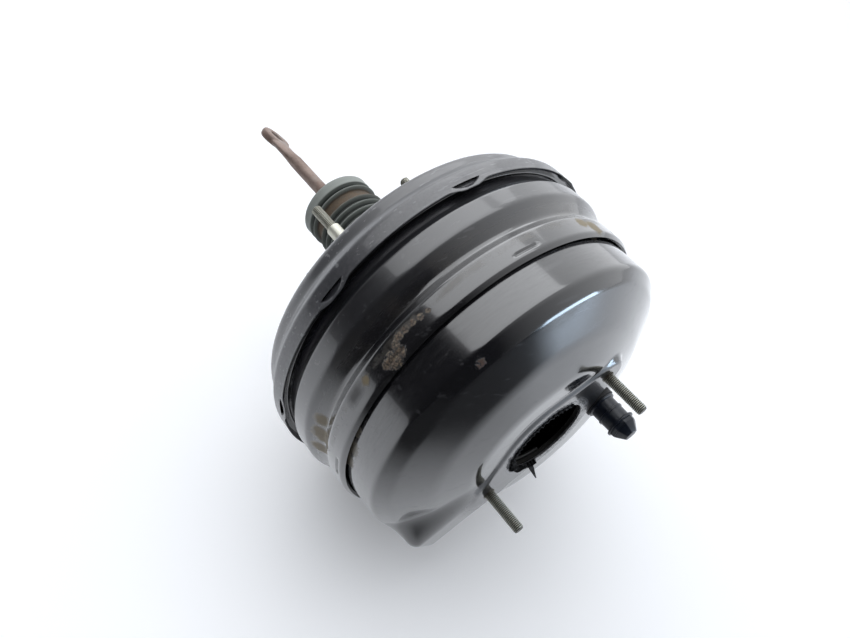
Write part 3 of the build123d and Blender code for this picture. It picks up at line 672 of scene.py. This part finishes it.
# The torn sealant: a bead of black rubbery sealant on the rim of the bore, ripped when the cylinder came off. It
# stands up in rags at one side, ends there in a pointed flap, and has left low scraps round the far side.
sealant = Finish("torn_sealant", Roughness=0.6, Specular_IOR_Level=0.25)
ragged_edge = sealant.noise(900, 4, 0.7)
tear = sealant.ramp(ragged_edge, (0.45, 0.0), (0.62, 1.0))
sealant_tone = sealant.mix(tear, (0.005, 0.005, 0.006), (0.028, 0.029, 0.032))
sealant.wear(Base_Color=sealant_tone, Normal=sealant.bump(ragged_edge, 0.4))
rag_steps = 60
rag_thickness = 0.7
rags = (-176, -88, 2.4, 7.0)
scraps = (70, 183, 0.9, 4.5)
mesh = bmesh.new()
for first, last, height, width in (rags, scraps):
    feet = []
    for k in range(rag_steps + 1):
        angle = radians(first + (last - first) * k / rag_steps)
        foot = bore_radius + 0.2
        feet.append(mesh.verts.new((pad_x - 1.2, foot * cos(angle), foot * sin(angle))))
    strip = [mesh.edges.new(pair) for pair in zip(feet, feet[1:])]
    grown = bmesh.ops.extrude_edge_only(mesh, edges=strip)["geom"]
    for tip in [part for part in grown if isinstance(part, bmesh.types.BMVert)]:
        angle = atan2(tip.co.z, tip.co.y)
        k = (degrees(angle) - first) % 360 / (last - first) * rag_steps
        rough = 0.5 + 0.5 * sin(k * 2.4) * sin(k * 0.9 + 1)
        reach = bore_radius + 0.4 + width * rough ** 2
        tip.co = (pad_x + 0.4 + height * (1 - rough), reach * cos(angle), reach * sin(angle))
flap_angle = radians(-100)
flap_half_width = 2.6
flap_side = Vector((0, -sin(flap_angle), cos(flap_angle))) * flap_half_width
flap_out = Vector((0, cos(flap_angle), sin(flap_angle)))
flap_root = flap_out * bore_radius + Vector((pad_x - 0.5, 0, 0))
flap = [mesh.edges.new([mesh.verts.new(flap_root - flap_side), mesh.verts.new(flap_root + flap_side)])]
for out, up, share in ((2, 4, 0.85), (5.5, 11, 0.06)):
    grown = bmesh.ops.extrude_edge_only(mesh, edges=flap)["geom"]
    tips = [part for part in grown if isinstance(part, bmesh.types.BMVert)]
    edges = [part for part in grown if isinstance(part, bmesh.types.BMEdge)]
    flap = [edge for edge in edges if all(vertex in tips for vertex in edge.verts)]
    middle = (tips[0].co + tips[1].co) / 2
    for tip in tips:
        hand = 1 if (tip.co - middle).dot(flap_side) > 0 else -1
        tip.co = flap_root + flap_out * out + Vector((up, 0, 0)) + flap_side * share * hand
bmesh.ops.recalc_face_normals(mesh, faces=mesh.faces)
bmesh.ops.solidify(mesh, geom=mesh.faces, thickness=rag_thickness)
bmesh.ops.recalc_face_normals(mesh, faces=mesh.faces)
finished("torn_sealant", mesh, sealant.material, "housing")

# The studs: M8 bolts with a rolled thread and a dull zinc plating, pressed into the plates behind the pad and the
# hub. The rear ones stand on plain collars. Their thread roots carry painted shade, and dirt has settled at the foot
# of the front ones.
thread_pitch = 1.25
thread_radius = 4
thread_root = 3.35
thread_steps = 28
tip_radius = 3.05
head_radius = 7.4


def threaded(mesh, start, end, centre, tip):
    """Adds a threaded bar along X: a saw-edged line is spun one turn and moves a pitch on, so the turns join up."""
    line = []
    for k in range(int((end - start) / thread_pitch) + 3):
        x = start + (k - 1) * thread_pitch
        line += [(x, thread_root), (x + 0.42 * thread_pitch, thread_radius), (x + 0.6 * thread_pitch, thread_radius)]
    old = set(mesh.verts)
    ring = [mesh.verts.new((x, centre[0] + radius, centre[1])) for x, radius in line]
    edges = [mesh.edges.new(pair) for pair in zip(ring, ring[1:])]
    advance = (thread_pitch / thread_steps, 0, 0)
    bmesh.ops.spin(mesh, geom=ring + edges, cent=(0, *centre), axis=(1, 0, 0), dvec=advance, angle=2 * pi,
                   steps=thread_steps)
    bmesh.ops.remove_doubles(mesh, verts=[vertex for vertex in mesh.verts if vertex not in old], dist=0.002)
    fresh = [vertex for vertex in mesh.verts if vertex not in old]
    middle = Vector(centre)
    for vertex in fresh:
        arm = vertex.co.yz - middle
        limit = tip_radius + abs(vertex.co.x - tip)
        vertex.co.yz = middle + arm * min(1, limit / arm.length)
        if not start < vertex.co.x < end:
            vertex.co.x = min(max(vertex.co.x, start), end)
            vertex.co.yz = middle + arm.normalized() * tip_radius
    bmesh.ops.remove_doubles(mesh, verts=fresh, dist=0.02)
    bmesh.ops.holes_fill(mesh, edges=[edge for edge in mesh.edges if edge.is_boundary], sides=0)


def barrel(mesh, outline, centre, steps=40):
    """Adds a turned part with its axis along X, from (x, radius) points that start and end on the axis."""
    ring = [mesh.verts.new((x, centre[0] + radius, centre[1])) for x, radius in outline]
    edges = [mesh.edges.new(pair) for pair in zip(ring, ring[1:])]
    bmesh.ops.spin(mesh, geom=ring + edges, cent=(0, *centre), axis=(1, 0, 0), angle=2 * pi, steps=steps,
                   use_merge=True)


def stud_zinc(name, centre, foot_x, grime_reach, pale):
    """Dull zinc on a stud's thread, with painted shade in its roots and grime that fades away from its foot."""
    zinc = Finish(name, Metallic=0.75)
    x, y, z = zinc.axes()
    off_y = abs(y) - centre[0]
    off_z = abs(z) - centre[1]
    out = (off_y * off_y + off_z * off_z) ** 0.5
    patch = zinc.noise(260, 4, 0.6)
    # Painted shade: the thread roots are darkened so that the thread lines stand out.
    root_shade = between(3.72 - out, 0, 9, 0.25)
    dull = tuple(0.72 * tone for tone in pale)
    colour = zinc.mix(patch, dull, pale)
    colour = zinc.mix(root_shade * 0.9, colour, (0.075, 0.07, 0.055))
    foot = (1 - abs(x - foot_x) / grime_reach).most(0) * zinc.ramp(patch, (0.3, 0.4), (0.6, 1.0))
    colour = zinc.mix(foot, colour, (0.09, 0.075, 0.055))
    relief = zinc.bump(zinc.noise(1400, 3, 0.6), 0.03)
    return zinc.wear(Base_Color=colour, Roughness=patch * 0.25 + 0.36, Normal=relief)


stud_place = stud_circle * cos(stud_angle)
front_tip_x = 223.1
knurl_radius = 4.6
knurl_top_x = pad_x + 0.5
mesh = bmesh.new()
for side_sign in (-1, 1):
    centre = (stud_place * side_sign, stud_place * side_sign)
    threaded(mesh, knurl_top_x - 0.3, front_tip_x, centre, front_tip_x)
    shank = [
        (182.9, 0), (182.9, head_radius), (185.9, head_radius), (185.9, knurl_radius), (knurl_top_x, knurl_radius),
        (knurl_top_x, 0),
    ]
    barrel(mesh, shank, centre)
bmesh.ops.recalc_face_normals(mesh, faces=mesh.faces)
front_zinc = stud_zinc("front_zinc", (stud_place, stud_place), pad_x, 7, (0.60, 0.60, 0.53))
finished("front_threads", mesh, front_zinc, "housing", ["front_studs"])

rear_stud_y = 42
rear_stud_z = 35
rear_tip_x = -43
collar_x = -19
collar_radius = 5.4
mesh = bmesh.new()
for y in (-rear_stud_y, rear_stud_y):
    for z in (-rear_stud_z, rear_stud_z):
        threaded(mesh, rear_tip_x, collar_x + 0.3, (y, z), rear_tip_x)
        collar = [
            (collar_x, 0), (collar_x, collar_radius - 0.5), (collar_x + 0.5, collar_radius), (5, collar_radius),
            (5, head_radius), (8, head_radius), (8, 0),
        ]
        barrel(mesh, collar, (y, z))
bmesh.ops.recalc_face_normals(mesh, faces=mesh.faces)
rear_zinc = stud_zinc("rear_zinc", (rear_stud_y, rear_stud_z), 0, 5, (0.72, 0.71, 0.62))
finished("rear_threads", mesh, rear_zinc, "housing", ["rear_studs"])

# The boot: a grey-green rubber bellows round the pushrod, thin at its folds. Its flat rear end grips the rod, its
# front lip grips the neck, and road dust has dried in the second, widest fold.
boot_rear_x = -74
boot_lip_x = -3
boot_radius = 31
boot_crest = 30.75
boot_flank = 28.3
boot_valley = 26.9
boot_grip = 6.3
fold_pitches = (5.6, 12.2, 6.5, 6.5, 6.5, 6.5, 6.5)
rear_end = [
    (2.0, boot_grip), (0.6, 8.5), (0, 10), (0, 22), (0.2, 28), (1.0, 30.2), (2.2, boot_radius), (5, 30.65),
    (8.2, 30.8), (9.0, boot_radius),
]
boot_line = [(boot_rear_x + step, radius) for step, radius in rear_end]
fold_x = boot_rear_x + 9.4
for pitch in fold_pitches:
    fold = [
        (0.35, boot_crest), (1.1, boot_flank), (1.9, boot_valley), (pitch - 2.0, boot_valley),
        (pitch - 1.3, boot_flank), (pitch - 0.45, boot_crest), (pitch, boot_radius),
    ]
    boot_line += [(fold_x + step, radius) for step, radius in fold]
    fold_x += pitch
boot_line += [
    (fold_x + 0.6, 30.4), (boot_lip_x - 3, 28.5), (boot_lip_x, 28), (boot_lip_x, 25.3), (boot_lip_x - 6, 25.3),
    (boot_lip_x - 9, 25), (boot_rear_x + 4, 24.6), (boot_rear_x + 2.4, 22), (boot_rear_x + 2.4, 10),
    (boot_rear_x + 4.4, boot_grip),
]
mesh = turned(boot_line, 128)
rubber = Finish("boot_rubber")
rubber_dark = (0.10, 0.112, 0.102)
rubber_light = (0.165, 0.18, 0.165)
painted_valley_shade = (0.028, 0.031, 0.029)
painted_crest_highlight = (0.30, 0.32, 0.30)
mud_dark = (0.075, 0.048, 0.028)
mud_light = (0.17, 0.12, 0.075)
boot_x, boot_y, boot_z = rubber.axes()
boot_out = (boot_y * boot_y + boot_z * boot_z) ** 0.5
mottle = rubber.noise(120, 5, 0.65)
powder = rubber.noise(900, 3, 0.6)
# Painted highlight: the crests of the folds are lightened.
crest_highlight = between(boot_out, 30.2, 40, 0.8)
# Painted shade: the valleys between the folds are darkened.
valley_shade = between(boot_out, 20, 28.3, 1.6)
fold_dirt = between(boot_x, -57.6, -46.6, 1.0) * rubber.ramp(rubber.noise(240, 4, 0.6), (0.3, 0.55), (0.6, 1.0))
rubber_tone = rubber.mix(mottle, rubber_dark, rubber_light)
rubber_tone = rubber.mix(valley_shade * 0.8, rubber_tone, painted_valley_shade)
rubber_tone = rubber.mix(crest_highlight * 0.75, rubber_tone, painted_crest_highlight)
rubber_tone = rubber.mix(fold_dirt * 0.9, rubber_tone, rubber.mix(powder, mud_dark, mud_light))
rubber.wear(Base_Color=rubber_tone, Roughness=mottle * 0.2 + 0.6, Normal=rubber.bump(powder + mottle * 2, 0.08))
boot = finished("bellows_boot", mesh, rubber.material, "housing", ["boot"], sharp=50)
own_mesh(boot)

# The pushrod: a steel forging, turned along its shank and hammered flat into an eye, with a bloom of tan rust. Its
# eye, neck and ball are closed shapes that overlap, and are then fused and smoothed into one skin.
rod_radius = 5.8
shank_radius = 4.0
ball_x = -12
ball_radius = 5.6
eye_x = -173.5
eye_radius = 14
eye_hole = 6.6
eye_half_thickness = 3.75
eye_lean = radians(50)
neck_sides = 32
skin_step = 0.55
smoothing_passes = 4
half_eye = [
    (eye_hole, 3.15), (eye_hole + 0.6, eye_half_thickness), (eye_radius - 1.6, eye_half_thickness),
    (eye_radius - 0.4, 2.55),
]
eye_outline = [(radius, -up) for radius, up in half_eye] + [(eye_radius, 0)] + half_eye[::-1]
mesh = bmesh.new()
ring = [mesh.verts.new((eye_x + radius, 0, up)) for radius, up in eye_outline]
edges = [mesh.edges.new(pair) for pair in zip(ring, ring[1:] + ring[:1])]
bmesh.ops.spin(mesh, geom=ring + edges, cent=(eye_x, 0, 0), axis=(0, 0, 1), angle=2 * pi, steps=72, use_merge=True)
neck_rows = [
    (eye_x + 8.2, 11.4, 3.7), (eye_x + 12, 12.0, 3.8), (eye_x + 17, 11.2, 4.0), (eye_x + 23, 9.6, 4.3),
    (eye_x + 28, 8.4, 4.7), (eye_x + 32, 7.0, 5.2), (eye_x + 36, 5.9, 5.7), (-54.5, rod_radius, rod_radius),
    (-52.4, shank_radius, shank_radius), (-17, shank_radius, shank_radius),
]
before = []
for x, wide, thick in neck_rows:
    spot = Matrix.Translation((x, 0, 0)) @ Matrix.Rotation(pi / 2, 4, "Y") @ Matrix.Diagonal((thick, wide, 1, 1))
    row = bmesh.ops.create_circle(mesh, cap_ends=False, segments=neck_sides, radius=1, matrix=spot)["verts"]
    loop = list({edge for vertex in row for edge in vertex.link_edges})
    if before:
        bmesh.ops.bridge_loops(mesh, edges=before + loop)
    before = loop
bmesh.ops.holes_fill(mesh, edges=[edge for edge in mesh.edges if edge.is_boundary], sides=0)
bmesh.ops.recalc_face_normals(mesh, faces=mesh.faces)
bmesh.ops.create_icosphere(mesh, subdivisions=3, radius=ball_radius, matrix=Matrix.Translation((ball_x, 0, 0)))
bmesh.ops.rotate(mesh, cent=(0, 0, 0), matrix=Matrix.Rotation(eye_lean - pi / 2, 3, "X"), verts=mesh.verts)
rod_data = bpy.data.meshes.new("rod_blank")
mesh.to_mesh(rod_data)
mesh.free()
blank = bpy.data.objects.new("rod_blank", rod_data)
bpy.context.collection.objects.link(blank)
fuse = blank.modifiers.new("fuse", "REMESH")
fuse.mode = "VOXEL"
fuse.voxel_size = skin_step
bpy.context.view_layer.update()
fused = bpy.data.meshes.new_from_object(blank.evaluated_get(bpy.context.evaluated_depsgraph_get()))
bpy.data.objects.remove(blank)
mesh = bmesh.new()
mesh.from_mesh(fused)
for _ in range(smoothing_passes):
    bmesh.ops.smooth_vert(mesh, verts=mesh.verts, factor=0.5, use_axis_x=True, use_axis_y=True, use_axis_z=True)
forging = Finish("forged_rod", Metallic=0.35)
steel_tan = (0.33, 0.255, 0.22)
steel_brown = (0.20, 0.14, 0.115)
rust_brown = (0.12, 0.07, 0.05)
rubbed_grey = (0.36, 0.33, 0.31)
rust_cloud = forging.noise(70, 6, 0.65, stretch=(0.4, 1, 1))
rust_grain = forging.noise(600, 4, 0.7)
rubbed = forging.ramp(forging.noise(45, 3, 0.5), (0.52, 0.0), (0.66, 0.5))
rod_tone = forging.mix(forging.ramp(rust_cloud, (0.35, 0.0), (0.65, 1.0)), steel_tan, steel_brown)
rod_tone = forging.mix(forging.ramp(rust_grain, (0.55, 0.0), (0.7, 0.6)), rod_tone, rust_brown)
rod_tone = forging.mix(rubbed, rod_tone, rubbed_grey)
rod_relief = forging.bump(rust_grain + rust_cloud, 0.12)
forging.wear(Base_Color=rod_tone, Roughness=rust_cloud * 0.25 + 0.45, Normal=rod_relief)
finished("forged_pushrod", mesh, forging.material, "pushrod", ["input_pushrod"], sharp=60)

# The check valve: a moulded blue-black plastic body in a rubber grommet, pushed into the front shell beside the
# bore, with collars that a hose would grip and a faceted plug over its disc.
valve_centre = (54.4, 0)
valve_radius = 9.5
plug_x = 210.3
plug_flange = 11.4
facets = 8
plastic = Finish("valve_plastic")
scuff = plastic.noise(300, 4, 0.65)
haze = plastic.noise(60, 4, 0.6)
plastic_tone = plastic.mix(plastic.ramp(scuff, (0.5, 0.0), (0.75, 0.7)), (0.006, 0.009, 0.018), (0.03, 0.036, 0.05))
plastic.wear(Base_Color=plastic_tone, Roughness=haze * 0.25 + 0.2, Normal=plastic.bump(scuff + haze, 0.05))
body_line = [
    (186, 0), (186, 7), (191.3, 7), (191.3, 10.8), (191.7, 11.2), (193.0, 11.2), (193.4, 10.7), (193.6, 9.6),
    (200.5, valve_radius), (200.8, 10.2), (202.2, 10.2), (202.5, valve_radius), (plug_x, 9.4), (plug_x, 0),
]
mesh = bmesh.new()
barrel(mesh, body_line, valve_centre, 56)
bmesh.ops.recalc_face_normals(mesh, faces=mesh.faces)
finished("valve_body", mesh, plastic.material, "housing", ["check_valve"], sharp=30)

plug_line = [
    (plug_x, 0), (plug_x, plug_flange - 0.5), (plug_x + 0.5, plug_flange), (plug_x + 1.6, plug_flange),
    (plug_x + 2.0, plug_flange - 0.5), (plug_x + 2.0, 0),
]
plug_steps = ((212.3, 10.6), (215.6, 10.2), (222.3, 5.2))
mesh = bmesh.new()
barrel(mesh, plug_line, valve_centre, 56)
for (low_x, low_radius), (high_x, high_radius) in zip(plug_steps, plug_steps[1:]):
    facing = Matrix.Rotation(pi / 2, 4, "Y") @ Matrix.Rotation(pi / facets, 4, "Z")
    spot = Matrix.Translation(((low_x + high_x) / 2, *valve_centre)) @ facing
    bmesh.ops.create_cone(mesh, cap_ends=True, segments=facets, radius1=low_radius, radius2=high_radius,
                          depth=high_x - low_x, matrix=spot)
hard = [edge for edge in mesh.edges if edge.is_manifold and edge.calc_face_angle(0) > radians(20)]
bmesh.ops.bevel(mesh, geom=hard, offset=0.3, segments=2, affect="EDGES", profile=0.5, material=-1, clamp_overlap=True)
bmesh.ops.recalc_face_normals(mesh, faces=mesh.faces)
finished("valve_nose", mesh, plastic.material, "housing", ["valve_cap"], sharp=30)

# What shows through the bore and the filters' opening: the plates, rubber and springs inside, in dim oily finishes,
# with the grommet's rubber outside. Each look is a dark and a light tone, a roughness and how metallic it is.
looks = {
    "black_paint": ((0.012, 0.012, 0.014), (0.03, 0.03, 0.03), 0.3, 0.0),
    "stud_steel": ((0.14, 0.14, 0.12), (0.22, 0.22, 0.2), 0.45, 0.7),
    "rod_steel": ((0.10, 0.09, 0.08), (0.17, 0.14, 0.12), 0.45, 0.7),
    "pressed_steel": ((0.02, 0.02, 0.02), (0.045, 0.043, 0.038), 0.5, 0.4),
    "spring_steel": ((0.06, 0.06, 0.06), (0.12, 0.12, 0.12), 0.4, 0.7),
    "boot_rubber": ((0.05, 0.055, 0.05), (0.09, 0.095, 0.09), 0.65, 0.0),
    "black_rubber": ((0.012, 0.012, 0.013), (0.03, 0.03, 0.032), 0.55, 0.0),
    "phenolic": ((0.03, 0.022, 0.016), (0.055, 0.04, 0.03), 0.5, 0.0),
    "valve_plastic": ((0.014, 0.02, 0.036), (0.04, 0.05, 0.07), 0.35, 0.0),
    "felt": ((0.08, 0.077, 0.065), (0.16, 0.15, 0.13), 0.9, 0.0),
}
inner = {}
for name, (dark, light, dullness, metal) in looks.items():
    oily = Finish("inner_" + name, Metallic=metal)
    film = oily.noise(150, 5, 0.65)
    inner[name] = oily.wear(
        Base_Color=oily.mix(film, dark, light), Roughness=film * 0.2 + dullness - 0.1, Normal=oily.bump(film, 0.05),
    )
for part in frame["record"]["subparts"]:
    for slot in frame["nodes"][part["node"]].material_slots:
        slot.material = inner[part["material_slot"]]
